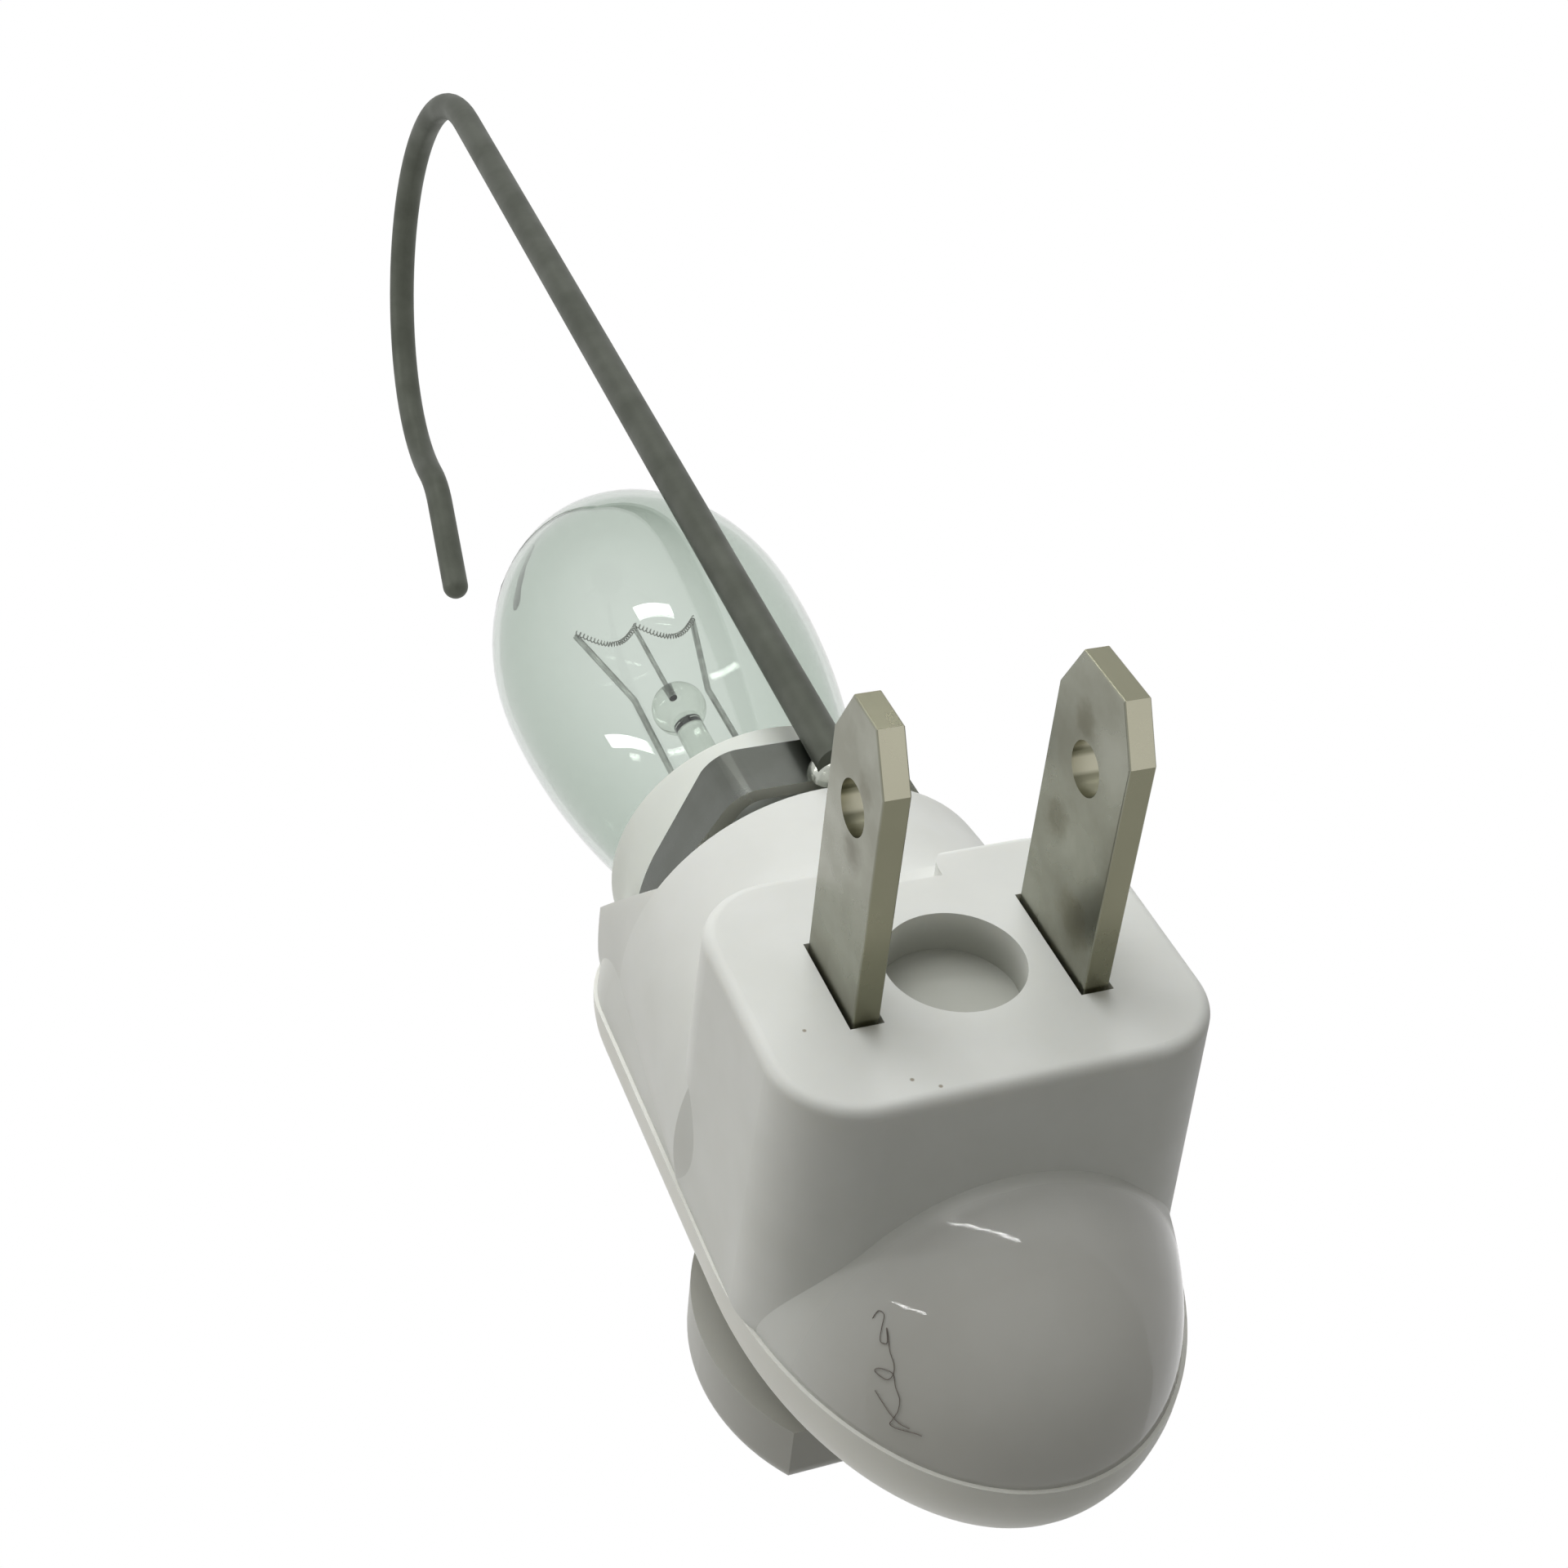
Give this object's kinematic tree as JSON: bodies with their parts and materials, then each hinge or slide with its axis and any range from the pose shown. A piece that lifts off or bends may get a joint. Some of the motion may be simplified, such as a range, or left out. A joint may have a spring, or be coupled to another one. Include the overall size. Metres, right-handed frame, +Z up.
{
  "type": "plug-in lamp holder",
  "caption": "Plug-in lamp holder with a rotary switch, a clear pear-shaped bulb and a bent rod hook clamped round its collar.",
  "frame": {"origin": "centre of the plug face, midway between the two blades", "axes": "+Y along the blades into the wall, +Z up along the bulb, the switch knob faces -Y"},
  "size_m": [0.0266, 0.058, 0.1525],
  "materials": {
    "white_shell": "satin",
    "white_cover": "satin",
    "blade_nickel_narrow": "bright",
    "blade_nickel_wide": "bright",
    "retainer_board": "satin",
    "sleeve_white": "satin",
    "screw_shell_brass": "bright",
    "contact_brass": "bright",
    "rivet_brass": "bright",
    "bulb_glass": "clear",
    "bulb_base_nickel": "bright",
    "bulb_insulator_dark": "gloss",
    "bulb_tip_solder": "satin",
    "stem_glass": "clear",
    "lead_nickel_left": "satin",
    "lead_nickel_right": "satin",
    "support_molybdenum": "satin",
    "filament_tungsten": "satin",
    "strap_steel": "satin",
    "rod_steel": "satin",
    "bead_braze": "bright",
    "knob_white": "satin",
    "spindle_plastic": "satin",
    "bridge_brass": "bright",
    "switch_base_plastic": "satin",
    "live_contact_brass": "bright",
    "load_contact_brass": "bright",
    "neutral_lead_jacket": "satin",
    "live_lead_jacket": "satin",
    "switch_lead_jacket": "satin"
  },
  "bodies": {
    "holder": {"rear_shell": "white_shell", "front_cover": "white_cover", "narrow_blade": "blade_nickel_narrow", "wide_blade": "blade_nickel_wide", "blade_retainer": "retainer_board", "socket_sleeve": "sleeve_white", "screw_shell": "screw_shell_brass", "centre_contact": "contact_brass", "contact_rivet": "rivet_brass", "bulb_glass": "bulb_glass", "bulb_base": "bulb_base_nickel", "bulb_insulator": "bulb_insulator_dark", "bulb_tip": "bulb_tip_solder", "bulb_stem": "stem_glass", "lead_wire_left": "lead_nickel_left", "lead_wire_right": "lead_nickel_right", "support_wire": "support_molybdenum", "filament": "filament_tungsten", "strap_clip": "strap_steel", "hook_rod": "rod_steel", "rod_bead": "bead_braze", "switch_base": "switch_base_plastic", "live_contact": "live_contact_brass", "load_contact": "load_contact_brass", "neutral_lead": "neutral_lead_jacket", "live_lead": "live_lead_jacket", "switch_lead": "switch_lead_jacket"},
    "knob": {"switch_knob": "knob_white", "switch_spindle": "spindle_plastic", "switch_bridge": "bridge_brass"}
  },
  "joints": [
    {"name": "switch_turn", "type": "hinge", "parent": "holder", "child": "knob", "pos_m": [0, -0.028, 0], "axis": [0, 1, 0], "range_deg": [0, 90]}
  ]
}
